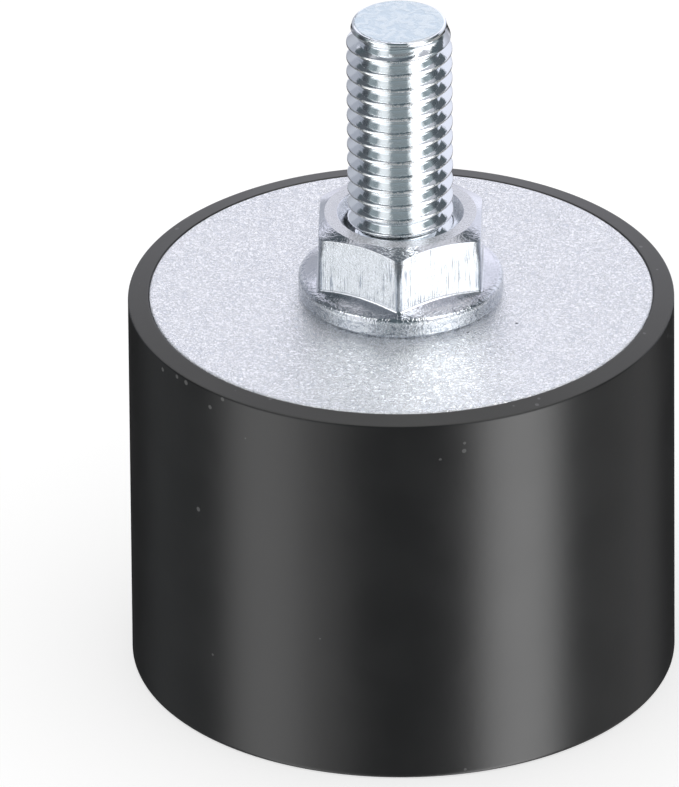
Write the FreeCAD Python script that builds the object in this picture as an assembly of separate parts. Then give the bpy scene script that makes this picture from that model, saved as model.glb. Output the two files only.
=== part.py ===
import FreeCAD, Part
import math
import os

# All lengths are millimetres. The origin is the middle of the bottom face, +Z points along the stud.

# Moulded rubber cylinder
mount_diameter = 50.0
mount_height = 37.0
rim_fall = 0.35
top_edge_radius = 0.25
bottom_edge_radius = 0.4

# Steel end plates, both moulded in flush and wrapped by rubber at the rim
rubber_rim_width = 1.9
upper_plate_thickness = 2.5
lower_plate_thickness = 2.5
plate_edge_chamfer = 0.3
press_fit_clearance = 0.02

# M10 x 1.5 stud with a round head bonded under the upper plate
stud_diameter = 9.8
stud_length = 28.0
stud_neck_diameter = 9.0
stud_neck_length = 1.4
stud_point_diameter = 8.2
stud_point_length = 0.5
stud_lead_angle = 45.0
stud_head_diameter = 18.0
stud_head_thickness = 3.0
stud_head_chamfer = 0.6

# Rolled thread of the stud: one helical groove that ends near the tip, at an angle counted from +X
thread_pitch = 1.5
thread_root_diameter = 8.08
thread_crest_flat = 0.19
thread_root_flat = 0.2
thread_runout = 1.0
thread_end_drop = 0.81
thread_end_angle = -65.0
groove_overshoot = 0.06

# Hexagon nut with a flange, seated on the upper plate
nut_height = 8.4
nut_width_across_flats = 14.85
nut_corner_radius = 0.5
nut_top_diameter = 13.9
nut_chamfer_angle = 26.0
nut_turn = -1.7
nut_countersink_diameter = 11.6
nut_seat_countersink_diameter = 10.8
nut_countersink_depth = 1.0
nut_running_clearance = 0.08
flange_diameter = 18.8
flange_edge_height = 2.05
flange_edge_radius = 0.35
flange_seat_chamfer = 0.5
flange_slope = 24.0

# Tapped M10 sleeve pressed into the lower plate
tapped_hole_diameter = 8.5
tapped_hole_depth = 11.5
tapped_hole_mouth_diameter = 10.4
drill_point_angle = 118.0
insert_spigot_diameter = 13.0
insert_body_diameter = 16.0
insert_end_thickness = 2.0
insert_edge_chamfer = 0.6


def radius(diameter):
    return diameter / 2.0


def turned(points):
    """Solid of revolution about Z of a closed outline given as radius and height pairs."""
    corners = [FreeCAD.Vector(across, 0, up) for across, up in points]
    outline = Part.makePolygon(corners + corners[:1])
    return Part.Face(outline).revolve(FreeCAD.Vector(0, 0, 0), FreeCAD.Vector(0, 0, 1), 360)


def circles_at(shape, diameter, height):
    """Round edges of one diameter at one height."""
    found = []
    for edge in shape.Edges:
        box = edge.BoundBox
        level = abs(box.ZMin - height) < 0.001 and abs(box.ZMax - height) < 0.001
        if level and abs(box.XLength - diameter) < 0.001:
            found.append(edge)
    return found


def plate_diameter():
    return mount_diameter - 2 * rubber_rim_width


def end_plate(thickness, hole_diameter):
    """Flat steel disc on the plane Z = 0, with chamfered edges and a middle hole."""
    hole = radius(hole_diameter)
    edge = radius(plate_diameter())
    return turned([
        (hole, 0),
        (edge - plate_edge_chamfer, 0),
        (edge, plate_edge_chamfer),
        (edge, thickness - plate_edge_chamfer),
        (edge - plate_edge_chamfer, thickness),
        (hole, thickness),
    ])


def make_upper_plate():
    hole_diameter = stud_diameter + 2 * press_fit_clearance
    plate = end_plate(upper_plate_thickness, hole_diameter)
    plate.translate(FreeCAD.Vector(0, 0, mount_height - upper_plate_thickness))
    return plate


def make_lower_plate():
    hole_diameter = insert_spigot_diameter + 2 * press_fit_clearance
    return end_plate(lower_plate_thickness, hole_diameter)


def stud_blank():
    """Round head under the plate, plain shank through it, and a stepped lead-in at the free end."""
    shank = radius(stud_diameter)
    neck = radius(stud_neck_diameter)
    head = radius(stud_head_diameter)
    head_top = mount_height - upper_plate_thickness
    head_bottom = head_top - stud_head_thickness
    tip = mount_height + stud_length
    neck_bottom = tip - stud_point_length - stud_neck_length
    lead_length = (shank - neck) * math.tan(math.radians(stud_lead_angle))
    return turned([
        (0, head_bottom),
        (head - stud_head_chamfer, head_bottom),
        (head, head_bottom + stud_head_chamfer),
        (head, head_top),
        (shank, head_top),
        (shank, neck_bottom - lead_length),
        (neck, neck_bottom),
        (neck, tip - stud_point_length),
        (radius(stud_point_diameter), tip),
        (0, tip),
    ])


def thread_section():
    """Groove section as radius and height pairs, wide open just outside the crests."""
    crest = radius(stud_diameter)
    root = radius(thread_root_diameter)
    half_root = thread_root_flat / 2
    half_mouth = (thread_pitch - thread_crest_flat) / 2
    spread = (half_mouth - half_root) * groove_overshoot / (crest - root)
    outer = crest + groove_overshoot
    return [(outer, -half_mouth - spread), (root, -half_root), (root, half_root), (outer, half_mouth + spread)]


def thread_groove():
    """Solid of the helical groove: ruled faces between the section's helices, closed at both ends."""
    section = thread_section()
    below = section[-1][1]
    length = stud_length - thread_end_drop - thread_runout - below
    bottom = mount_height + thread_runout + below
    cone_angle = 0
    helices = []
    for across, up in section:
        helix = Part.makeLongHelix(thread_pitch, length, across, cone_angle)
        helix.translate(FreeCAD.Vector(0, 0, bottom + up))
        helices.append(helix.Edges)
    faces = []
    for index, helix in enumerate(helices):
        for edge, neighbour in zip(helix, helices[index - 1]):
            faces.append(Part.makeRuledSurface(edge, neighbour))
    starts = [helix[0].valueAt(helix[0].FirstParameter) for helix in helices]
    ends = [helix[-1].valueAt(helix[-1].LastParameter) for helix in helices]
    for corners in (starts, ends):
        faces.append(Part.Face(Part.makePolygon(corners + corners[:1])))
    shell = Part.Shell(faces)
    shell.sewShape()
    groove = Part.Solid(shell)
    turn = thread_end_angle - 360 * length / thread_pitch
    groove.rotate(FreeCAD.Vector(0, 0, 0), FreeCAD.Vector(0, 0, 1), turn)
    return groove


def make_stud():
    return stud_blank().cut(thread_groove())


def hexagon_bar():
    """Upright hexagon with rounded corners, one corner towards -Y before the small turn of the nut."""
    corner_radius = nut_width_across_flats / math.sqrt(3)
    corners = []
    for step in range(6):
        angle = math.radians(-90 + nut_turn + 60 * step)
        corners.append(FreeCAD.Vector(corner_radius * math.cos(angle), corner_radius * math.sin(angle), 0))
    bar = Part.Face(Part.makePolygon(corners + corners[:1])).extrude(FreeCAD.Vector(0, 0, nut_height))
    upright = [edge for edge in bar.Edges if edge.BoundBox.ZLength > nut_height / 2]
    return bar.makeFillet(nut_corner_radius, upright)


def chamfer_cone():
    """Turned envelope whose cone cuts the curved chamfers on the hexagon's upper corners."""
    reach = nut_width_across_flats
    drop = (reach - radius(nut_top_diameter)) * math.tan(math.radians(nut_chamfer_angle))
    return turned([
        (0, 0),
        (reach, 0),
        (reach, nut_height - drop),
        (radius(nut_top_diameter), nut_height),
        (0, nut_height),
    ])


def nut_flange():
    """Conical flange with an upright edge, rounded above and chamfered down to the seat."""
    outer = radius(flange_diameter)
    inner = radius(nut_top_diameter)
    rise = (outer - inner) * math.tan(math.radians(flange_slope))
    flange = turned([
        (0, 0),
        (outer - flange_seat_chamfer, 0),
        (outer, flange_seat_chamfer),
        (outer, flange_edge_height),
        (inner, flange_edge_height + rise),
        (0, flange_edge_height + rise),
    ])
    return flange.makeFillet(flange_edge_radius, circles_at(flange, flange_diameter, flange_edge_height))


def nut_bore():
    """Clearance hole over the thread crests with a countersink at each end."""
    bore = radius(stud_diameter) + nut_running_clearance
    return turned([
        (0, 0),
        (radius(nut_seat_countersink_diameter), 0),
        (bore, radius(nut_seat_countersink_diameter) - bore),
        (bore, nut_height - nut_countersink_depth),
        (radius(nut_countersink_diameter), nut_height),
        (0, nut_height),
    ])


def make_flange_nut():
    hexagon = hexagon_bar().common(chamfer_cone())
    nut = hexagon.fuse(nut_flange()).removeSplitter()
    nut = nut.cut(nut_bore())
    nut.translate(FreeCAD.Vector(0, 0, mount_height))
    return nut


def insert_height():
    return tapped_hole_depth + drill_point_length() + insert_end_thickness


def drill_point_length():
    return radius(tapped_hole_diameter) / math.tan(math.radians(drill_point_angle / 2))


def insert_outline():
    """Outside of the tapped sleeve: a spigot through the lower plate and a wider body bonded in rubber."""
    spigot = radius(insert_spigot_diameter)
    body = radius(insert_body_diameter)
    top = insert_height()
    return turned([
        (0, 0),
        (spigot, 0),
        (spigot, lower_plate_thickness),
        (body, lower_plate_thickness),
        (body, top - insert_edge_chamfer),
        (body - insert_edge_chamfer, top),
        (0, top),
    ])


def tapped_hole():
    hole = radius(tapped_hole_diameter)
    mouth = radius(tapped_hole_mouth_diameter)
    return turned([
        (0, 0),
        (mouth, 0),
        (hole, mouth - hole),
        (hole, tapped_hole_depth),
        (0, tapped_hole_depth + drill_point_length()),
    ])


def make_threaded_insert():
    return insert_outline().cut(tapped_hole())


def make_rubber_body(bonded_pieces):
    """Rubber moulded round both plates, the stud's head and the sleeve, with a rim that falls outwards."""
    outer = radius(mount_diameter)
    rim_height = mount_height - rim_fall
    block = turned([
        (0, 0),
        (outer, 0),
        (outer, rim_height),
        (radius(plate_diameter()), mount_height),
        (0, mount_height),
    ])
    block = block.makeFillet(top_edge_radius, circles_at(block, mount_diameter, rim_height))
    block = block.makeFillet(bottom_edge_radius, circles_at(block, mount_diameter, 0))
    for piece in bonded_pieces:
        block = block.cut(piece)
    return block


def bonded_outlines():
    """The steel as the rubber meets it, with every hole filled."""
    upper = end_plate(upper_plate_thickness, stud_diameter)
    upper = upper.fuse(Part.makeCylinder(radius(stud_diameter), upper_plate_thickness))
    upper.translate(FreeCAD.Vector(0, 0, mount_height - upper_plate_thickness))
    lower = end_plate(lower_plate_thickness, insert_spigot_diameter)
    lower = lower.fuse(Part.makeCylinder(radius(insert_spigot_diameter), lower_plate_thickness))
    return [upper, lower, stud_blank(), insert_outline()]


def main():
    os.makedirs("parts", exist_ok=True)
    pieces = {
        "rubber_body": make_rubber_body(bonded_outlines()),
        "upper_plate": make_upper_plate(),
        "lower_plate": make_lower_plate(),
        "stud": make_stud(),
        "threaded_insert": make_threaded_insert(),
        "flange_nut": make_flange_nut(),
    }
    for name, shape in pieces.items():
        solids = shape.Solids
        print(name, len(solids), "solid", round(shape.Volume, 1), "mm3", shape.isValid())
        solids[0].exportStep("parts/" + name + ".step")


main()
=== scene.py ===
import math

import bmesh
import bpy
import numpy as np
from mathutils import Matrix, Vector


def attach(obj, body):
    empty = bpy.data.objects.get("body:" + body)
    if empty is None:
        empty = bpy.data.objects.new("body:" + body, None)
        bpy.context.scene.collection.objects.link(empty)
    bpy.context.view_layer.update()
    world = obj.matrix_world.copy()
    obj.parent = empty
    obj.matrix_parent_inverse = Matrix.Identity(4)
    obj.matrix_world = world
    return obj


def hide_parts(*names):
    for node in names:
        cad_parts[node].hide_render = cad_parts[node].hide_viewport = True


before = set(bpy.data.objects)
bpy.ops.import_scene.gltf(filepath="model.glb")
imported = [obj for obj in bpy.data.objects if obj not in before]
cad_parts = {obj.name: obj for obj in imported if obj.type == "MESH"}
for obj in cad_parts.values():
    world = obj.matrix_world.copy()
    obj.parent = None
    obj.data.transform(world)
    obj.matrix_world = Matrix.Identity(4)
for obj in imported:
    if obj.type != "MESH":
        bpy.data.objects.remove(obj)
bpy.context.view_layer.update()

print("scene: frame loaded")

mm = 0.001                    # the sizes below are millimetres, the scene is in metres
mergeDistance = 0.002 * mm
fullTurn = 2 * math.pi


# Shared surface makers

cosineLimit = 0.9999          # keeps the tangent of a corner's half angle finite and over 0
longestTangent = 0.4          # share of the shorter edge beside a corner that its curve may take
longestSupport = 0.07         # and that the extra point outside the curve may add


def smoothStep(low, high, value):
    share = np.clip((value - low) / (high - low), 0, 1)
    return share * share * (3 - 2 * share)


def evenTurn(columns):
    # equal angles round the axis, the last one on the first again
    return np.linspace(0, fullTurn, columns + 1)


def turnedGrid(outline, turn):
    # each point is (radius * cos angle, radius * sin angle, height): outline down, angles across
    outline = np.asarray(outline, dtype=float)
    if outline.ndim == 2:
        outline = outline[:, None]
    radius, height = outline[..., 0], outline[..., 1]
    parts = np.broadcast_arrays(radius * np.cos(turn), radius * np.sin(turn), height)
    return np.stack(parts, axis=-1)


def roundedOutline(corners, steps=5, support=0.05, loop=True):
    # corners are (radius, height, rounding), the first two single or with a value for every angle.
    # Each gives way to a quadratic curve between its tangent points, which lie
    # rounding / tan(half the corner's angle) away from it, with one more point outside each end.
    radii, heights, roundings = zip(*corners)
    points = np.stack(np.broadcast_arrays(*radii, *heights)).astype(float)
    points = np.moveaxis(points.reshape(2, len(roundings), -1), 0, -1)
    rows = []
    for index, rounding in enumerate(roundings):
        corner = points[index]
        if not loop and index in (0, len(roundings) - 1):
            rows.append(corner)
            continue
        before = points[index - 1] - corner
        after = points[(index + 1) % len(points)] - corner
        lengthBefore = np.linalg.norm(before, axis=-1, keepdims=True)
        lengthAfter = np.linalg.norm(after, axis=-1, keepdims=True)
        before, after = before / lengthBefore, after / lengthAfter
        cosine = (before * after).sum(axis=-1, keepdims=True)
        halfAngle = np.arccos(np.clip(cosine, -cosineLimit, cosineLimit)) / 2
        shorter = np.minimum(lengthBefore, lengthAfter)
        tangent = np.minimum(rounding / np.tan(halfAngle), longestTangent * shorter)
        outside = tangent + np.minimum(support, longestSupport * shorter)
        start, end = corner + before * tangent, corner + after * tangent
        rows.append(corner + before * outside)
        for share in np.linspace(0, 1, steps):
            rest = 1 - share
            rows.append(rest ** 2 * start + 2 * share * rest * corner + share ** 2 * end)
        rows.append(corner + after * outside)
    if loop:
        rows.append(rows[0])
    return np.stack(rows)


def meshFromGrid(name, points):
    # quads between neighbouring rows and columns, where merging equal points closes seams and poles
    rows, columns = points.shape[:2]
    row, column = np.meshgrid(np.arange(rows - 1), np.arange(columns - 1), indexing="ij")
    first = row * columns + column
    quads = np.stack([first, first + 1, first + columns + 1, first + columns], axis=-1)
    mesh = bpy.data.meshes.new(name)
    mesh.vertices.add(rows * columns)
    mesh.vertices.foreach_set("co", (points * mm).astype(np.float32).ravel())
    mesh.loops.add(quads.size)
    mesh.loops.foreach_set("vertex_index", quads.astype(np.int32).ravel())
    mesh.polygons.add(quads.size // 4)
    mesh.polygons.foreach_set("loop_start", np.arange(0, quads.size, 4, dtype=np.int32))
    mesh.update(calc_edges=True)
    merged = bmesh.new()
    merged.from_mesh(mesh)
    bmesh.ops.remove_doubles(merged, verts=merged.verts, dist=mergeDistance)
    merged.to_mesh(mesh)
    merged.free()
    mesh.shade_smooth()
    piece = bpy.data.objects.new(name, mesh)
    bpy.context.scene.collection.objects.link(piece)
    return piece


def turnedPiece(name, turn, *outlines):
    # one surface whose outlines follow each other
    return meshFromGrid(name, np.concatenate([turnedGrid(outline, turn) for outline in outlines]))


def dressPiece(piece, body, node, material):
    piece.data.materials.append(material)
    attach(piece, body)
    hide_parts(node)
    print("scene:", piece.name, len(piece.data.polygons), "faces")


# Shared node makers

noiseRange = (0.3, 0.7)       # where nearly all values of a noise lie
broadScale = 0.1              # of the broad noise against the fine one


def fillInputs(tree, node, inputs):
    # an input given as a socket is linked, and anything else is its value
    for name, value in inputs.items():
        if isinstance(value, bpy.types.NodeSocket):
            tree.links.new(value, node.inputs[name])
        else:
            node.inputs[name].default_value = value


def addNode(tree, kind, inputs=None, **settings):
    made = tree.nodes.new("ShaderNode" + kind)
    for name, value in settings.items():
        setattr(made, name, value)
    fillInputs(tree, made, inputs or {})
    return made


def calculate(tree, operation, first, second=0.0, third=0.0):
    return addNode(tree, "Math", {0: first, 1: second, 2: third}, operation=operation).outputs[0]


def multiply(tree, first, second):
    return calculate(tree, "MULTIPLY", first, second)


def multiplyAdd(tree, value, factor, added):
    return calculate(tree, "MULTIPLY_ADD", value, factor, added)


def calculateVector(tree, operation, first, inputs=None, output="Vector"):
    inputs = {0: first, **(inputs or {})}
    return addNode(tree, "VectorMath", inputs, operation=operation).outputs[output]


def scaleColour(tree, colour, factor):
    return calculateVector(tree, "SCALE", colour, {"Scale": factor})


def cosineBetween(tree, direction, towards):
    return calculateVector(tree, "DOT_PRODUCT", direction, {1: towards}, output="Value")


def remap(tree, value, fromLow, fromHigh, toLow=0.0, toHigh=1.0, smooth=True):
    inputs = {"Value": value, "From Min": fromLow, "From Max": fromHigh,
              "To Min": toLow, "To Max": toHigh}
    kind = "SMOOTHSTEP" if smooth else "LINEAR"
    return addNode(tree, "MapRange", inputs, interpolation_type=kind).outputs["Result"]


def remapLength(tree, length, base, offsets, levels=(0.0, 1.0)):
    # a length in metres, between two offsets in millimetres from a base size
    low, high = ((base + offset) * mm for offset in offsets)
    return remap(tree, length, low, high, *levels)


def mixValues(tree, share, first, second):
    return addNode(tree, "Mix", {0: share, 2: first, 3: second}).outputs[0]


def mixColours(tree, share, first, second):
    inputs = {0: share, 6: first, 7: second}
    return addNode(tree, "Mix", inputs, data_type="RGBA").outputs[2]


def objectPoint(tree):
    return addNode(tree, "TexCoord").outputs["Object"]


def surfaceNormal(tree):
    return addNode(tree, "NewGeometry").outputs["Normal"]


def partsOf(tree, vector):
    split = addNode(tree, "SeparateXYZ", {"Vector": vector})
    return [split.outputs[part] for part in "XYZ"]


def fromAxis(tree, x, y):
    level = addNode(tree, "CombineXYZ", {"X": x, "Y": y})
    return calculateVector(tree, "LENGTH", level.outputs[0], output="Value")


def reliefNormal(tree, height, look):
    # a bump whose full height is the piece's own relief height
    inputs = {"Height": height, "Strength": look["reliefStrength"],
              "Distance": look["reliefHeight"] * mm}
    return addNode(tree, "Bump", inputs).outputs["Normal"]


def emptyTree(owner):
    owner.use_nodes = True
    owner.node_tree.nodes.clear()
    return owner.node_tree


def newMaterial(name):
    material = bpy.data.materials.new(name)
    tree = emptyTree(material)
    shader = addNode(tree, "BsdfPrincipled")
    addNode(tree, "OutputMaterial", {"Surface": shader.outputs["BSDF"]})
    return material, tree, shader


def newGroup(name, inputs, outputs):
    # inputs are (name, kind, value), outputs are (name, kind)
    group = bpy.data.node_groups.new(name, "ShaderNodeTree")
    for label, kind, value in inputs:
        socket = group.interface.new_socket(label, in_out="INPUT", socket_type="NodeSocket" + kind)
        if value is not None:
            socket.default_value = value
    for label, kind in outputs:
        group.interface.new_socket(label, in_out="OUTPUT", socket_type="NodeSocket" + kind)
    return group, group.nodes.new("NodeGroupInput").outputs, group.nodes.new("NodeGroupOutput")


def spreadNoise(tree, noise):
    # stretched to run from -1 to 1
    return remap(tree, noise.outputs["Fac"], *noiseRange, -1, 1)


def makeMottleGroup():
    # worm-like spots: two noises, one fine and distorted and one coarser, both from -1 to 1
    inputs = [("Vector", "Vector", None), ("Spot Size", "Float", 0.0004),
              ("Distortion", "Float", 1.0)]
    group, given, result = newGroup("surfaceMottle", inputs, [("Fine", "Float"), ("Broad", "Float")])
    scale = calculate(group, "DIVIDE", 1.0, given["Spot Size"])
    fine = addNode(group, "TexNoise", {"Vector": given["Vector"], "Scale": scale, "Detail": 2.0,
                                       "Roughness": 0.5, "Distortion": given["Distortion"]})
    broad = addNode(group, "TexNoise", {"Vector": given["Vector"], "Detail": 3.0,
                                        "Scale": multiply(group, scale, broadScale)})
    fillInputs(group, result, {"Fine": spreadNoise(group, fine), "Broad": spreadNoise(group, broad)})
    return group


def makeSpeckGroup():
    # scattered specks: cells whose random value is below the share, round within each cell
    inputs = [("Vector", "Vector", None), ("Spacing", "Float", 0.001), ("Size", "Float", 0.2),
              ("Share", "Float", 0.1)]
    group, given, result = newGroup("dustSpecks", inputs, [("Mask", "Float")])
    scale = calculate(group, "DIVIDE", 1.0, given["Spacing"])
    cells = addNode(group, "TexVoronoi", {"Vector": given["Vector"], "Scale": scale})
    chosen = addNode(group, "SeparateColor", {"Color": cells.outputs["Color"]})
    kept = calculate(group, "LESS_THAN", chosen.outputs["Red"], given["Share"])
    varied = multiply(group, given["Size"], chosen.outputs["Green"])
    inside = calculate(group, "LESS_THAN", cells.outputs["Distance"], varied)
    fillInputs(group, result, {"Mask": multiply(group, kept, inside)})
    return group


def makeBrushedGroup():
    # fine lines along the axis: a noise squeezed across the lines and stretched along them
    inputs = [("Vector", "Vector", None), ("Line Width", "Float", 0.0001),
              ("Line Length", "Float", 0.004)]
    group, given, result = newGroup("brushedLines", inputs, [("Lines", "Float")])
    across = calculate(group, "DIVIDE", 1.0, given["Line Width"])
    along = calculate(group, "DIVIDE", 1.0, given["Line Length"])
    sizes = addNode(group, "CombineXYZ", {"X": across, "Y": across, "Z": along})
    place = calculateVector(group, "MULTIPLY", given["Vector"], {1: sizes.outputs[0]})
    lines = addNode(group, "TexNoise", {"Vector": place, "Scale": 1.0, "Detail": 3.0})
    fillInputs(group, result, {"Lines": spreadNoise(group, lines)})
    return group


mottleGroup = makeMottleGroup()
speckGroup = makeSpeckGroup()
brushedGroup = makeBrushedGroup()


def useGroup(tree, group, place, **values):
    # a value's name in camel case is its label in the group, written in words
    inputs = {"Vector": place}
    for name, value in values.items():
        label = "".join(" " + letter if letter.isupper() else letter for letter in name)
        inputs[label.title()] = value
    return addNode(tree, "Group", inputs, node_tree=group).outputs


# Moulded rubber

rubber = {
    "diameter": 50.0,
    "height": 37.0,
    "rimWidth": 1.9,
    "rimFall": 0.35,
    "topEdge": 0.15,
    "bottomEdge": 0.4,
    "lipEdge": 0.12,
    "plateDepth": 2.5,
    "plateEdge": 0.3,
    "headRadius": 9.0,
    "headDepth": 3.0,
    "sleeveRadius": 8.0,
    "sleeveHeight": 16.05,
    "hiddenEdge": 0.5,            # round the stud's head and the sleeve's end
    "hiddenCorner": 0.1,          # where those meet the plates
    "columns": 448,
    "darkColour": (0.0070, 0.0070, 0.0073, 1),
    "lightColour": (0.0100, 0.0100, 0.0103, 1),
    # the rim's colour: partly a duller moulded face, partly painted light where the top faces up
    "rimToneAndLight": (0.042, 0.041, 0.037, 1),
    "rimFacing": (0.5, 0.9),      # how far a face has to look up to be rim
    "cloudSize": 0.6,
    "cloudDistortion": 0.3,
    "dustColour": (0.11, 0.11, 0.11, 1),
    "dustSpacing": 1.1,
    "dustSize": 0.24,             # largest radius, in spacings
    "dustBand": (-5, -1),         # heights from the top between which the dust gets denser
    "dustShare": (0.01, 0.35),    # share of places with a speck, below and above that band
    "roughness": 0.30,
    "cloudRoughness": 0.01,
    "rimRoughness": 0.13,
    "reliefStrength": 0.25,
    "reliefHeight": 0.003,
}


def makeRubber():
    # turned outline: over the sleeve, along the lower plate, round the outside,
    # then down to the upper plate and the stud's head
    outer = rubber["diameter"] / 2
    seat = outer - rubber["rimWidth"]
    top = rubber["height"]
    plateBottom = top - rubber["plateDepth"]
    headBottom = plateBottom - rubber["headDepth"]
    corners = [
        (0, rubber["sleeveHeight"], 0),
        (rubber["sleeveRadius"], rubber["sleeveHeight"], rubber["hiddenEdge"]),
        (rubber["sleeveRadius"], rubber["plateDepth"], rubber["hiddenCorner"]),
        (seat, rubber["plateDepth"], rubber["plateEdge"]),
        (seat, 0, rubber["lipEdge"]),
        (outer, 0, rubber["bottomEdge"]),
        (outer, top - rubber["rimFall"], rubber["topEdge"]),
        (seat, top, rubber["lipEdge"]),
        (seat, plateBottom, rubber["plateEdge"]),
        (rubber["headRadius"], plateBottom, rubber["hiddenCorner"]),
        (rubber["headRadius"], headBottom, rubber["hiddenEdge"]),
        (0, headBottom, 0),
    ]
    outline = roundedOutline(corners, steps=6, support=0.12, loop=False)
    return turnedPiece("mouldedRubber", evenTurn(rubber["columns"]), outline)


def makeRubberMaterial():
    # dark with slow clouds, a paler rim on the up-facing faces, partly a duller moulded face and
    # partly painted light from above, and dust specks that thin out below it
    material, tree, shader = newMaterial("mouldedRubber")
    place = objectPoint(tree)
    height = partsOf(tree, place)[2]
    facingUp = partsOf(tree, surfaceNormal(tree))[2]
    clouds = useGroup(tree, mottleGroup, place, spotSize=rubber["cloudSize"] * mm,
                      distortion=rubber["cloudDistortion"])
    onTop = remap(tree, facingUp, *rubber["rimFacing"])
    colour = mixColours(tree, remap(tree, clouds["Broad"], -1, 1),
                        rubber["darkColour"], rubber["lightColour"])
    # the up-facing rim takes a paler colour, partly its duller face and partly painted light
    colour = mixColours(tree, onTop, colour, rubber["rimToneAndLight"])
    share = remapLength(tree, height, rubber["height"], rubber["dustBand"], rubber["dustShare"])
    specks = useGroup(tree, speckGroup, place, spacing=rubber["dustSpacing"] * mm,
                      size=rubber["dustSize"], share=share)
    colour = mixColours(tree, specks["Mask"], colour, rubber["dustColour"])
    rough = multiplyAdd(tree, clouds["Broad"], rubber["cloudRoughness"], rubber["roughness"])
    rough = multiplyAdd(tree, onTop, rubber["rimRoughness"], rough)
    shader.inputs["Base Color"].default_value = rubber["darkColour"]
    fillInputs(tree, shader, {"Base Color": colour, "Roughness": rough,
                              "Normal": reliefNormal(tree, clouds["Fine"], rubber)})
    return material


# Zinc plated end plates

plates = {
    "diameter": 46.2,
    "thickness": 2.5,
    "edge": 0.3,
    "studHole": 4.92,
    "sleeveHole": 6.52,
    "holeEdge": 0.1,
    "columns": 320,
    "colour": (0.98, 0.985, 0.99, 1),
    "shadeColour": (0.48, 0.52, 0.59, 1),
    "shadeLevel": 0.92,           # middle of the mix, from the shade's colour to the plain one
    "broadShade": 0.05,           # what the broad and the fine grain add to that mix
    "fineShade": 0.6,
    "grainSize": 0.27,
    "grainDistortion": 1.6,
    "pitColour": (0.20, 0.21, 0.24, 1),
    "pitSpacing": 1.5,
    "pitSize": 0.14,              # largest radius, in spacings
    "pitShare": 0.05,
    "roughness": 0.22,
    "grainRoughness": -0.06,
    "metallic": 0.8,
    "reliefStrength": 0.5,
    "reliefHeight": 0.04,
}


def makePlate(name, hole, bottom):
    # turned ring: an upright box outline with rolled edges
    outer = plates["diameter"] / 2
    top = bottom + plates["thickness"]
    corners = [(hole, bottom, plates["holeEdge"]), (outer, bottom, plates["edge"]),
               (outer, top, plates["edge"]), (hole, top, plates["holeEdge"])]
    outline = roundedOutline(corners, steps=6, support=0.1)
    return turnedPiece(name, evenTurn(plates["columns"]), outline)


def makePlateMaterial():
    # pale metal, shaded by a fine and a broad grain, with a few dark pits
    material, tree, shader = newMaterial("zincPlate")
    place = objectPoint(tree)
    grain = useGroup(tree, mottleGroup, place, spotSize=plates["grainSize"] * mm,
                     distortion=plates["grainDistortion"])
    shade = multiplyAdd(tree, grain["Broad"], plates["broadShade"], plates["shadeLevel"])
    shade = multiplyAdd(tree, grain["Fine"], plates["fineShade"], shade)
    colour = mixColours(tree, shade, plates["shadeColour"], plates["colour"])
    pits = useGroup(tree, speckGroup, place, spacing=plates["pitSpacing"] * mm,
                    size=plates["pitSize"], share=plates["pitShare"])
    colour = mixColours(tree, pits["Mask"], colour, plates["pitColour"])
    rough = multiplyAdd(tree, grain["Fine"], plates["grainRoughness"], plates["roughness"])
    fillInputs(tree, shader, {"Base Color": colour, "Metallic": plates["metallic"],
                              "Roughness": rough,
                              "Normal": reliefNormal(tree, grain["Fine"], plates)})
    return material


# Threads, shared by the stud and the sleeve

thread = {
    "pitch": 1.5,
    "crestRadius": 4.84,
    "rootRadius": 4.0,
    "endAngle": -65.0,            # degrees from +X at which the stud's groove ends
    "endDrop": 0.81,              # from the tip down to the groove's middle there
    "crestFlat": 0.19,
    "rootFlat": 0.2,
    "softening": 0.045,           # half the length that each corner of the section is rounded over
    # distances of the rows from the crest's middle, up to half a pitch
    "rows": (0, 0.05, 0.08, 0.12, 0.17, 0.37, 0.59, 0.63, 0.68),
}


def rampArea(share):
    # area under a slope that rises from 0 to 1 and then stays there
    return np.clip(share, 0, 1) ** 2 / 2 + np.maximum(share - 1, 0)


def threadDepth(height, turn, start):
    # depth below the crest at a height and angle: flat crest, straight flank and flat root,
    # climbing one pitch a turn, with the slope averaged over a short length to round its corners
    pitch = thread["pitch"]
    fromCrest = height - start - pitch * turn / fullTurn
    fromCrest = np.abs(fromCrest - pitch * np.round(fromCrest / pitch))
    flank = (pitch - thread["crestFlat"] - thread["rootFlat"]) / 2
    share = (fromCrest - thread["crestFlat"] / 2) / flank
    window = thread["softening"] / flank
    rise = rampArea(share + window) - rampArea(share - window)
    return (thread["crestRadius"] - thread["rootRadius"]) * rise / (2 * window)


def threadHeights(low, high, start, turn):
    # rows that climb one pitch a turn, with every row clipped to the threaded length
    pitch = thread["pitch"]
    firstTurn = math.floor((low - start) / pitch) - 1
    lastTurn = math.ceil((high - start) / pitch)
    offsets = list(thread["rows"]) + [pitch - row for row in thread["rows"][:0:-1]]
    rows = [start + pitch * number + offset
            for number in range(firstTurn, lastTurn + 1) for offset in offsets]
    return np.clip(np.array(rows)[:, None] + pitch * turn / fullTurn, low, high)


# Threaded stud

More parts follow.
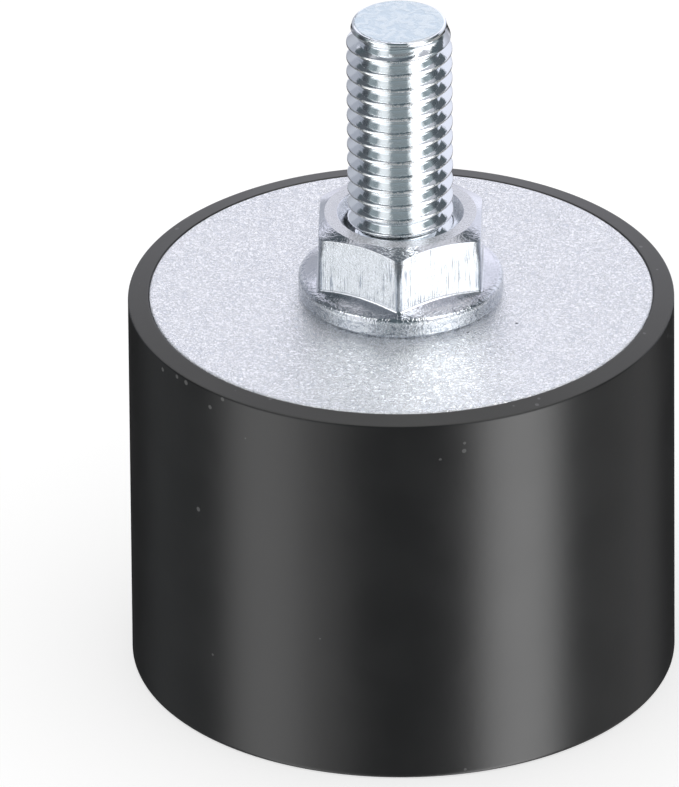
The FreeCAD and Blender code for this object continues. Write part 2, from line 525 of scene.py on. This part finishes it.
stud = {
    "tip": 65.0,
    "headTop": 34.5,
    "headRadius": 9.0,
    "headThickness": 3.0,
    "headEdge": 0.6,
    "headTopEdge": 0.2,
    "neckCorner": 0.1,
    "threadLow": 37.0,
    "threadHigh": 64.6,
    "growth": (0.1, 1.0),         # heights over the thread's start between which it gets its depth
    "runout": (-0.06, 0.14),      # turns before and after the groove's end over which it fades
    "envelopeDrop": (0.4, 0.9, 1.7, 30.0),        # distances from the tip, and the
    "envelopeRadius": (4.36, 4.52, 4.84, 4.84),   # crest's radius at each
    "pointTaper": 0.06,
    "pointDrop": 0.1,
    "pointRadius": 4.0,
    "pointEdge": 0.16,
    "columns": 240,
    "colour": (0.93, 0.96, 0.98, 1),
    "mottleSize": 0.35,
    "mottleDistortion": 0.8,
    # whiter colour painted on the crests as glints
    "crestGlintColour": (1.0, 1.0, 1.0, 1),
    "crestBand": (-0.09, -0.02),  # from the crest's radius
    "crestGlintSpecks": (-0.6, 0.2),   # values of the mottle between which the painted glint specks begin
    "endColour": (0.60, 0.69, 0.73, 1),
    "endLight": (0.71, 0.78, 0.79, 1),
    "endBand": (-0.05, -0.01),    # heights from the tip
    "blotchSize": 0.9,
    "blotchDistortion": 1.0,
    "blotchRange": (-0.8, 0.9),
    "roughness": 0.09,
    "crestRoughness": 0.2,
    "endRoughness": 0.16,
    "endRelief": 6.0,
    "mottleRelief": 0.45,
    "reliefStrength": 0.35,
    "reliefHeight": 0.006,
}


def makeStud():
    # plain turned head, then helical rows whose radius is the envelope less the thread's depth,
    # where the depth fades in above the plate and out at the groove's end, then the turned point
    turn = evenTurn(stud["columns"])
    pitch, crest, low, tip = thread["pitch"], thread["crestRadius"], stud["threadLow"], stud["tip"]
    endTurn = math.radians(thread["endAngle"]) / fullTurn
    start = tip - thread["endDrop"] - pitch * endTurn - pitch / 2
    heights = threadHeights(low, stud["threadHigh"], start, turn)
    envelope = np.interp(tip - heights, stud["envelopeDrop"], stud["envelopeRadius"])
    grooveTurns = np.round((heights - start) / pitch - turn / fullTurn - 0.5) + turn / fullTurn
    fadeStart, fadeEnd = (endTurn + runout for runout in stud["runout"])
    fade = 1 - smoothStep(fadeStart, fadeEnd, grooveTurns)
    growthStart, growthEnd = (low + growth for growth in stud["growth"])
    fade = fade * smoothStep(growthStart, growthEnd, heights)
    radii = envelope - threadDepth(heights, turn, start) * fade
    threadRows = np.stack([radii, heights], axis=-1)
    bottom = stud["headTop"] - stud["headThickness"]
    head = roundedOutline([
        (0, bottom, 0),
        (stud["headRadius"], bottom, stud["headEdge"]),
        (stud["headRadius"], stud["headTop"], stud["headTopEdge"]),
        (crest, stud["headTop"], stud["neckCorner"]),
        (crest, low, 0),
    ], loop=False)
    shoulder = stud["envelopeRadius"][0]
    point = roundedOutline([
        (shoulder, stud["threadHigh"], 0),
        (shoulder - stud["pointTaper"], tip - stud["pointDrop"], stud["pointEdge"]),
        (stud["pointRadius"], tip, stud["pointEdge"]),
        (0, tip, 0),
    ], loop=False)
    return turnedPiece("threadedStud", turn, head, threadRows, point)


def makeStudMaterial():
    # bright metal with pale specks painted along the crests as glints, and a blotched, duller end
    # face
    material, tree, shader = newMaterial("zincStud")
    place = objectPoint(tree)
    x, y, z = partsOf(tree, place)
    mottle = useGroup(tree, mottleGroup, place, spotSize=stud["mottleSize"] * mm,
                      distortion=stud["mottleDistortion"])
    blotches = useGroup(tree, mottleGroup, place, spotSize=stud["blotchSize"] * mm,
                        distortion=stud["blotchDistortion"])
    onCrest = remapLength(tree, fromAxis(tree, x, y), thread["crestRadius"], stud["crestBand"])
    crestGlints = multiply(tree, onCrest, remap(tree, mottle["Fine"], *stud["crestGlintSpecks"]))
    onEnd = remapLength(tree, z, stud["tip"], stud["endBand"])
    endShade = remap(tree, blotches["Fine"], *stud["blotchRange"])
    endColour = mixColours(tree, endShade, stud["endColour"], stud["endLight"])
    # painted glints: the crest specks are mixed towards white
    colour = mixColours(tree, crestGlints, stud["colour"], stud["crestGlintColour"])
    colour = mixColours(tree, onEnd, colour, endColour)
    rough = multiplyAdd(tree, crestGlints, stud["crestRoughness"], stud["roughness"])
    rough = multiplyAdd(tree, onEnd, stud["endRoughness"], rough)
    endRelief = multiply(tree, blotches["Fine"], stud["endRelief"])
    mottleRelief = multiply(tree, mottle["Fine"], stud["mottleRelief"])
    relief = multiplyAdd(tree, onEnd, endRelief, mottleRelief)
    fillInputs(tree, shader, {"Base Color": colour, "Metallic": 1.0, "Roughness": rough,
                              "Normal": reliefNormal(tree, relief, stud)})
    return material


# Tapped sleeve in the lower plate

sleeve = {
    "spigotRadius": 6.5,
    "spigotEdge": 0.15,
    "bodyRadius": 8.0,
    "height": 16.05,
    "endEdge": 0.6,
    "plateDepth": 2.5,
    "shoulderEdge": 0.2,
    "shoulderCorner": 0.1,
    "holeRadius": 4.25,
    "holeDepth": 11.5,
    "holeCorner": 0.1,
    "pointAngle": 59,             # half of the drill point's angle, in degrees
    "mouthRadius": 5.2,
    "mouthEdge": 0.1,
    "threadStart": 0.4,           # height at which a crest's middle meets +X
    "threadClearance": 0.08,      # of the groove over the stud's crests
    "plainEnd": 0.3,              # unthreaded length at the hole's end
    "mouthGrowth": 0.4,           # height over the mouth in which the thread gets its depth
    "endGrowth": 1.2,             # distance from the hole's end at which it has its depth
    "columns": 160,
}


def makeSleeve():
    # the tapped hole from its drill point down, in helical rows between two plain ones, whose
    # radius is the groove's less the thread's depth and at least the hole's, then the outside
    turn = evenTurn(sleeve["columns"])
    hole, depth, start = sleeve["holeRadius"], sleeve["holeDepth"], sleeve["threadStart"]
    mouthTop = sleeve["mouthRadius"] - hole
    threadTop = depth - sleeve["plainEnd"]
    point = depth + hole / math.tan(math.radians(sleeve["pointAngle"]))
    heights = threadHeights(mouthTop, threadTop, start, turn)[::-1]
    fade = smoothStep(mouthTop, mouthTop + sleeve["mouthGrowth"], heights)
    fade = fade * smoothStep(threadTop, depth - sleeve["endGrowth"], heights)
    groove = thread["crestRadius"] + sleeve["threadClearance"]
    cut = np.maximum(groove - threadDepth(heights, turn, start), hole)
    threadRows = np.stack([hole + (cut - hole) * fade, heights], axis=-1)
    holeEnd = [(0, point, 0), (hole, depth, sleeve["holeCorner"]), (hole, threadTop, 0)]
    outside = [
        (hole, mouthTop, 0),
        (sleeve["mouthRadius"], 0, sleeve["mouthEdge"]),
        (sleeve["spigotRadius"], 0, sleeve["spigotEdge"]),
        (sleeve["spigotRadius"], sleeve["plateDepth"], sleeve["shoulderCorner"]),
        (sleeve["bodyRadius"], sleeve["plateDepth"], sleeve["shoulderEdge"]),
        (sleeve["bodyRadius"], sleeve["height"], sleeve["endEdge"]),
        (0, sleeve["height"], 0),
    ]
    return turnedPiece("tappedSleeve", turn, roundedOutline(holeEnd, loop=False), threadRows,
                       roundedOutline(outside, loop=False))


# Flange nut

nut = {
    "seat": 37.0,
    "height": 8.4,
    "acrossFlats": 14.85,
    "turn": -1.7,
    "cornerRadius": 0.5,
    "cornerTopRadius": 1.5,       # the corners are rounder towards the top
    "cornerGrowth": (0.4, 1.0),   # shares of the wall's height between which they get so
    "wallRows": (0.0, 0.3, 0.45, 0.55, 0.65, 0.75, 0.85, 0.93, 1.0),     # shares of that height
    "cornerAngle": 5.4,           # degrees at each side of a corner where columns are close
    "cornerColumns": 17,
    "flatAngle": 6.2,             # degrees from a corner where they begin to be wider
    "flatColumns": 14,
    "topRadius": 6.95,
    "topEdge": 0.1,
    "chamferAngle": 26.0,
    "chamferEdge": 0.1,
    "boreRadius": 4.87,
    "boreCorner": 0.1,
    "countersinkRadius": 5.8,
    "countersinkDepth": 1.0,
    "countersinkEdge": 0.1,
    "seatRadius": 5.4,
    "seatEdge": 0.08,
    "seatChamfer": 0.5,
    "seatChamferLow": 0.1,        # roundings of the chamfer's lower and upper edge
    "seatChamferHigh": 0.12,
    "flangeRadius": 9.4,
    "flangeEdgeHeight": 2.05,
    "flangeSlope": 24.0,
    "flangeEdge": 0.55,
    "footFillet": 0.35,
    "colour": (0.87, 0.89, 0.92, 1),
    # the up-facing top's colour, painted darker as shade
    "topShadedColour": (0.69, 0.70, 0.74, 1),
    "topColourFacing": (0.86, 0.93),      # how far a face has to look up for the top's painted shade
    "topFacing": (0.94, 0.99),            # and for the top's metallic value and roughness
    "topMetallic": 0.4,
    # dark colour for the brushing lines and spots, and for painted shade at the corners and low edge
    "darkColour": (0.34, 0.38, 0.44, 1),
    "uprightFacing": (0.5, 0.2),          # how little a face looks up or down to be upright
    "flangeBand": (-0.75, -0.6),          # from the flange's radius
    "mottleSize": 0.35,
    "mottleDistortion": 1.0,
    "lineWidth": 0.11,
    "lineLength": 3.0,
    "linePatches": (-0.5, 0.6, 0.45, 1.0),    # the broad mottle, to the strength of the lines
    "lineShade": (0.15, 1.0, 0.0, 0.9),       # the lines, to their share of the dark colour
    "cornerShadeBand": (0.055, 0.025),         # sixths of a turn from a corner, over which painted shade darkens it
    "cornerShade": 0.6,
    "lowShadeBand": (1.75, 1.45),              # heights over the seat between which painted shade darkens the flange's lower edge
    "lowShade": 0.35,
    "spotShade": 0.15,
    "flangeSpotShade": 0.3,               # added on the flange
    "roughness": 0.1,
    "mottleRoughness": 0.03,
    "insideBand": (0.05, -0.1),           # from the countersink's radius
    "dullRoughness": 0.18,                # added inside the countersink and on top
    "flangeRelief": 1.6,
    "uprightRelief": -0.6,
    "lineRelief": 1.2,
    "reliefStrength": 0.35,
    "reliefHeight": 0.01,
}
halfSixth = math.pi / 6


def hexagonRadius(fromCorner, arc):
    # distance from the axis at an angle from the nearest corner: the flat's line or the corner's arc
    apothem = nut["acrossFlats"] / 2
    centre = (apothem - arc) / math.cos(halfSixth)
    arcEnd = math.atan2(arc * math.sin(halfSixth), centre + arc * math.cos(halfSixth))
    size = np.abs(fromCorner)
    flat = apothem / np.cos(halfSixth - size)
    inArc = np.maximum(arc ** 2 - (centre * np.sin(size)) ** 2, 0)
    return np.where(size < arcEnd, centre * np.cos(size) + np.sqrt(inArc), flat)


def cornerArc(share):
    # the corner's radius by height: even below, growing over the upper part
    growth = nut["cornerTopRadius"] - nut["cornerRadius"]
    return nut["cornerRadius"] + growth * smoothStep(*nut["cornerGrowth"], share)


def nutAngles():
    # angles from a corner, close together near it, the same for all six sixths
    nearCorner = np.linspace(0, math.radians(nut["cornerAngle"]), nut["cornerColumns"])
    onFlat = np.linspace(math.radians(nut["flatAngle"]), halfSixth, nut["flatColumns"])
    half = np.concatenate([nearCorner, onFlat])
    sixth = np.concatenate([-half[:0:-1], half])[1:]
    fromCorner = np.tile(sixth, 6)
    turn = fromCorner + np.repeat(np.arange(6) * math.pi / 3, len(sixth))
    turn = turn + math.radians(nut["turn"] - 90)
    return np.append(turn, turn[0] + fullTurn), np.append(fromCorner, fromCorner[0])


def makeNut():
    # one outline per angle: the bore's mouth, the seat, the flange with its sloping top, the
    # hexagon's wall from there up to the chamfer's cone, then the top, the countersink and the bore
    turn, fromCorner = nutAngles()
    bore, outer, top = nut["boreRadius"], nut["flangeRadius"], nut["topRadius"]
    height, edge, chamfer = nut["height"], nut["flangeEdgeHeight"], nut["seatChamfer"]
    slope = math.tan(math.radians(nut["flangeSlope"]))
    fall = math.tan(math.radians(nut["chamferAngle"]))
    foot = edge + (outer - hexagonRadius(fromCorner, cornerArc(0.0))) * slope
    shoulder = height - (hexagonRadius(fromCorner, cornerArc(1.0)) - top) * fall
    wallEdges = [nut["footFillet"]] + [0] * (len(nut["wallRows"]) - 2) + [nut["chamferEdge"]]
    wall = [(hexagonRadius(fromCorner, cornerArc(share)), foot + (shoulder - foot) * share, rounding)
            for share, rounding in zip(nut["wallRows"], wallEdges)]
    corners = [
        (bore, nut["seatRadius"] - bore, nut["boreCorner"]),
        (nut["seatRadius"], 0, nut["seatEdge"]),
        (outer - chamfer, 0, nut["seatChamferLow"]),
        (outer, chamfer, nut["seatChamferHigh"]),
        (outer, edge, nut["flangeEdge"]),
        *wall,
        (top, height, nut["topEdge"]),
        (nut["countersinkRadius"], height, nut["countersinkEdge"]),
        (bore, height - nut["countersinkDepth"], nut["boreCorner"]),
    ]
    corners = [(radius, nut["seat"] + rise, rounding) for radius, rise, rounding in corners]
    return turnedPiece("flangeNut", turn, roundedOutline(corners, steps=6))


def makeNutMaterial():
    # bright metal with brushed flats, painted shade at the corners and along the flange's low edge,
    # spots, and a satin top painted darker as shade
    material, tree, shader = newMaterial("zincNut")
    place = objectPoint(tree)
    x, y, z = partsOf(tree, place)
    facing = partsOf(tree, surfaceNormal(tree))[2]
    mottle = useGroup(tree, mottleGroup, place, spotSize=nut["mottleSize"] * mm,
                      distortion=nut["mottleDistortion"])
    lines = useGroup(tree, brushedGroup, place, lineWidth=nut["lineWidth"] * mm,
                     lineLength=nut["lineLength"] * mm)

    # where on the nut
    radius = fromAxis(tree, x, y)
    inFlange = remapLength(tree, radius, nut["flangeRadius"], nut["flangeBand"])
    upright = remap(tree, calculate(tree, "ABSOLUTE", facing), *nut["uprightFacing"])
    upright = multiply(tree, upright, calculate(tree, "SUBTRACT", 1.0, inFlange))
    onTop = remap(tree, facing, *nut["topFacing"])
    inside = remapLength(tree, radius, nut["countersinkRadius"], nut["insideBand"])
    sixths = multiplyAdd(tree, calculate(tree, "ARCTAN2", y, x), 3 / math.pi,
                         (90 - nut["turn"]) / 60)
    fromCorner = calculate(tree, "SUBTRACT", sixths, calculate(tree, "ROUND", sixths))
    fromCorner = calculate(tree, "ABSOLUTE", fromCorner)
    # painted shade darkening the hexagon's corners on upright faces
    nearCorner = multiply(tree, remap(tree, fromCorner, *nut["cornerShadeBand"]), upright)
    # painted shade: the flange darkened towards its lower edge, where it meets the plate
    lowEdgeShade = multiply(tree, inFlange, remapLength(tree, z, nut["seat"], nut["lowShadeBand"]))
    patches = remap(tree, mottle["Broad"], *nut["linePatches"])
    brushed = multiply(tree, lines["Lines"], multiply(tree, upright, patches))

    # share of the dark colour: brushing lines and spots, and painted shade at the corners and the
    # low edge
    shade = remap(tree, brushed, *nut["lineShade"])
    shade = multiplyAdd(tree, nearCorner, nut["cornerShade"], shade)
    shade = multiplyAdd(tree, lowEdgeShade, nut["lowShade"], shade)
    spotShade = multiplyAdd(tree, inFlange, nut["flangeSpotShade"], nut["spotShade"])
    shade = multiplyAdd(tree, remap(tree, mottle["Fine"], 0.0, 1.0), spotShade, shade)
    # painted shade: faces that look up take a darker colour
    towardsTopShade = remap(tree, facing, *nut["topColourFacing"])
    colour = mixColours(tree, towardsTopShade, nut["colour"], nut["topShadedColour"])
    colour = mixColours(tree, shade, colour, nut["darkColour"])

    metallic = remap(tree, onTop, 0.0, 1.0, 1.0, nut["topMetallic"], smooth=False)
    rough = multiplyAdd(tree, mottle["Fine"], nut["mottleRoughness"], nut["roughness"])
    dull = calculate(tree, "MAXIMUM", inside, onTop)
    rough = multiplyAdd(tree, dull, nut["dullRoughness"], rough)
    relief = multiplyAdd(tree, upright, nut["uprightRelief"], 1.0)
    relief = multiplyAdd(tree, inFlange, nut["flangeRelief"], relief)
    relief = multiply(tree, mottle["Fine"], relief)
    relief = multiplyAdd(tree, brushed, nut["lineRelief"], relief)
    fillInputs(tree, shader, {"Base Color": colour, "Metallic": metallic, "Roughness": rough,
                              "Normal": reliefNormal(tree, relief, nut)})
    return material


zincPlate = makePlateMaterial()
dressPiece(makeRubber(), "mount", "rubber_body", makeRubberMaterial())
topPlate = makePlate("topPlate", plates["studHole"], rubber["height"] - plates["thickness"])
dressPiece(topPlate, "mount", "upper_plate", zincPlate)
bottomPlate = makePlate("bottomPlate", plates["sleeveHole"], 0.0)
dressPiece(bottomPlate, "mount", "lower_plate", zincPlate)
dressPiece(makeStud(), "mount", "stud", makeStudMaterial())
dressPiece(makeSleeve(), "mount", "threaded_insert", zincPlate)
dressPiece(makeNut(), "nut", "flange_nut", makeNutMaterial())


# Floor, light and camera

studio = {
    "floorRadius": 3500.0,
    "floorColumns": 96,
    "floorColour": (0.55, 0.55, 0.55, 1),
    "floorGlow": 0.56,
    "fillLevel": 0.9,
    "wallColour": (0.09, 0.115, 0.13, 1),       # the unlit room that shiny metal sees
    "lowerWallColour": (0.46, 0.53, 0.56, 1),   # and nearer to the floor
    "wallRange": (0.0, 0.3),                    # upward parts of the direction between those two
    "lean": 0.375,                              # how far the softboxes lean back overhead
    # softboxes: middle and half width in degrees from the front, the fade at each side, colour
    "softboxes": ((-42, 1, 18, (1.7, 1.72, 1.73)),
                  (38, 2, 21, (2.7, 2.7, 2.7)),
                  (-97, 3, 16, (0.10, 0.11, 0.125)),
                  (95, 3, 15, (0.10, 0.115, 0.13)),
                  (180, 46, 8, (1.30, 1.31, 1.46))),
    "backFall": 0.42,                           # how much the rear light falls off with height
    "backRange": (0.3, 0.7),                    # backward parts of the direction where it sets in
    # round patches, most of them overhead: direction, cosines at the outer and inner edge, colour
    "patches": (((-0.78, -0.40, 0.48), 0.92, 0.97, (1.85, 1.87, 1.90)),
                ((0.73, -0.48, 0.48), 0.92, 0.97, (3.1, 3.1, 3.1)),
                ((-0.73, 0.68, 0.15), 0.89, 0.90, (0.38, 0.40, 0.46)),
                ((0.73, 0.68, 0.15), 0.885, 0.90, (0.84, 0.86, 0.97)),
                ((-0.42, 0.88, 0.20), 0.95, 0.97, (0.50, 0.52, 0.58)),
                ((0.0, 0.12, 0.99), 0.97, 0.99, (0.10, 0.12, 0.14)),
                ((0.30, 0.35, 0.89), 0.96, 0.985, (0.80, 0.80, 0.84)),
                ((-0.30, 0.36, 0.88), 0.985, 0.995, (0.75, 0.76, 0.80)),
                ((-0.34, 0.04, 0.94), 0.955, 0.98, (0.22, 0.24, 0.27)),
                ((0.42, 0.08, 0.91), 0.97, 0.985, (0.50, 0.51, 0.56))),
    "lowDim": 0.5,                              # brightness below the horizon
    "dimRange": (-0.3, 0.3),                    # upward parts where it rises to full
    "directLimit": (0.78, 0.79, 0.84),          # the most a first mirroring takes from the front
    "directDepth": 1.5,                         # mirrorings below this are first ones
    "frontRange": (0.1, -0.1),                  # backward parts where the front begins
    "highRange": (0.65, 0.5),                   # upward parts below which the limit holds
    # the lower half, which mirrors the floor: its wall and its softboxes
    "lowWall": (0.22, 0.23, 0.235, 1),
    "lowBoxes": ((-41, 6, 18, (1.1, 1.1, 1.1)),
                 (-61, 5, 19, (2.3, 2.3, 2.3)),
                 (51, 2, 23, (4.9, 4.9, 4.9)),
                 (118, 22, 22, (0.42, 0.42, 0.42)),
                 (180, 30, 30, (0.03, 0.03, 0.03))),
    "lowRange": (-0.26, -0.38),                 # upward parts where the lower half takes over
}

view = {
    "frameSize": (679, 787),
    "elevation": 28.75,
    "roll": 0.5,
    "distance": 2200.0,
    "pixelsPerMm": 10.93,
    "target": (0.0, 0.0, 37.0),
    "targetPixel": (401.0, 292.0),
    "sensor": 36.0,
    "clip": (0.01, 100),          # metres
}


def makeFloor():
    # a wide ring, open only where the mount stands, so that a view from below shows the underside
    inner = rubber["diameter"] / 2 - rubber["bottomEdge"]
    outline = [(studio["floorRadius"], 0), (inner, 0)]
    floor = turnedPiece("floor", evenTurn(studio["floorColumns"]), outline)
    material = bpy.data.materials.new("floorPaint")
    tree = emptyTree(material)
    paint = addNode(tree, "BsdfDiffuse", {"Color": studio["floorColour"]})
    seen = addNode(tree, "LightPath").outputs["Is Camera Ray"]
    glow = addNode(tree, "Emission", {"Strength": multiply(tree, seen, studio["floorGlow"])})
    both = addNode(tree, "AddShader", {0: paint.outputs[0], 1: glow.outputs[0]})
    addNode(tree, "OutputMaterial", {"Surface": both.outputs[0]})
    floor.data.materials.append(material)
    floor.visible_glossy = False       # reflections meet the studio's lower half instead


def lightBoxes(tree, level, wall, boxes):
    # each box covers directions round the object: the cosine from its middle fades at its sides
    light = wall
    for middle, half, fade, colour in boxes:
        towards = (math.sin(math.radians(middle)), -math.cos(math.radians(middle)), 0)
        outside, inside = (math.cos(math.radians(angle)) for angle in (half + fade, half))
        share = remap(tree, cosineBetween(tree, level, towards), outside, inside)
        light = mixColours(tree, share, light, (*colour, 1))
    return light


def addPatch(tree, direction, light, patch):
    # a round panel, by the cosine between its direction and the ray's
    place, outside, inside, colour = patch
    length = math.sqrt(sum(part * part for part in place))
    towards = tuple(part / length for part in place)
    share = remap(tree, cosineBetween(tree, direction, towards), outside, inside)
    return mixColours(tree, share, light, (*colour, 1))


def upperLight(tree, direction, level, glossyDepth):
    # wall and softboxes, the rear one weaker with height, then the patches, dimmed at the horizon,
    # where a first mirroring of the front takes no more than the limit
    y, z = partsOf(tree, direction)[1:]
    wall = mixColours(tree, remap(tree, z, *studio["wallRange"]),
                      studio["lowerWallColour"], studio["wallColour"])
    light = lightBoxes(tree, level, wall, studio["softboxes"])
    fall = remap(tree, z, 0.0, 1.0, 1.0, 1.0 - studio["backFall"], smooth=False)
    fall = mixValues(tree, remap(tree, y, *studio["backRange"]), 1.0, fall)
    light = scaleColour(tree, light, fall)
    for patch in studio["patches"]:
        light = addPatch(tree, direction, light, patch)
    light = scaleColour(tree, light, remap(tree, z, *studio["dimRange"], studio["lowDim"], 1.0))
    inFront = multiply(tree, remap(tree, y, *studio["frontRange"]),
                       remap(tree, z, *studio["highRange"]))
    direct = calculate(tree, "LESS_THAN", glossyDepth, studio["directDepth"])
    limited = calculateVector(tree, "MINIMUM", light, {1: studio["directLimit"]})
    return mixColours(tree, multiply(tree, direct, inFront), light, limited)


def makeWorld():
    # white to the camera, even to matt surfaces, and a studio of upright softboxes to glossy ones
    world = bpy.data.worlds.new("studioWorld")
    bpy.context.scene.world = world
    world.cycles.sampling_method = "NONE"
    tree = emptyTree(world)
    direction = addNode(tree, "TexCoord").outputs["Generated"]
    x, y, z = partsOf(tree, direction)
    lifted = multiply(tree, calculate(tree, "MAXIMUM", z, 0.0), studio["lean"])
    level = addNode(tree, "CombineXYZ", {"X": x, "Y": calculate(tree, "SUBTRACT", y, lifted)})
    level = calculateVector(tree, "NORMALIZE", level.outputs[0])
    paths = addNode(tree, "LightPath")
    upper = upperLight(tree, direction, level, paths.outputs["Glossy Depth"])
    lower = lightBoxes(tree, level, studio["lowWall"], studio["lowBoxes"])
    reflected = mixColours(tree, remap(tree, z, *studio["lowRange"]), upper, lower)
    fill = (studio["fillLevel"],) * 3 + (1,)
    light = mixColours(tree, paths.outputs["Is Glossy Ray"], fill, reflected)
    light = mixColours(tree, paths.outputs["Is Camera Ray"], light, (1, 1, 1, 1))
    background = addNode(tree, "Background", {"Color": light, "Strength": 1.0})
    addNode(tree, "OutputWorld", {"Surface": background.outputs[0]})


def makeCamera():
    # looks along +Y and down, rolled a little, so that the target point falls on its pixel
    elevation, roll = math.radians(view["elevation"]), math.radians(view["roll"])
    right = Vector((1, 0, 0))
    up = Vector((0, math.sin(elevation), math.cos(elevation)))
    right, up = (right * math.cos(roll) - up * math.sin(roll),
                 right * math.sin(roll) + up * math.cos(roll))
    back = right.cross(up)
    width, height = view["frameSize"]
    offsetRight = (view["targetPixel"][0] - width / 2) / view["pixelsPerMm"]
    offsetUp = (height / 2 - view["targetPixel"][1]) / view["pixelsPerMm"]
    centre = Vector(view["target"]) - right * offsetRight - up * offsetUp
    lens = bpy.data.cameras.new("camera")
    lens.sensor_width = view["sensor"]
    lens.lens = view["pixelsPerMm"] * view["distance"] * view["sensor"] / height
    lens.clip_start, lens.clip_end = view["clip"]
    camera = bpy.data.objects.new("camera", lens)
    camera.matrix_world = Matrix((right, up, back)).transposed().to_4x4()
    camera.location = (centre + back * view["distance"]) * mm
    bpy.context.scene.collection.objects.link(camera)
    bpy.context.scene.camera = camera


makeFloor()
makeWorld()
makeCamera()
bpy.context.scene.view_settings.view_transform = "Standard"
print("scene: floor, light and camera in place")
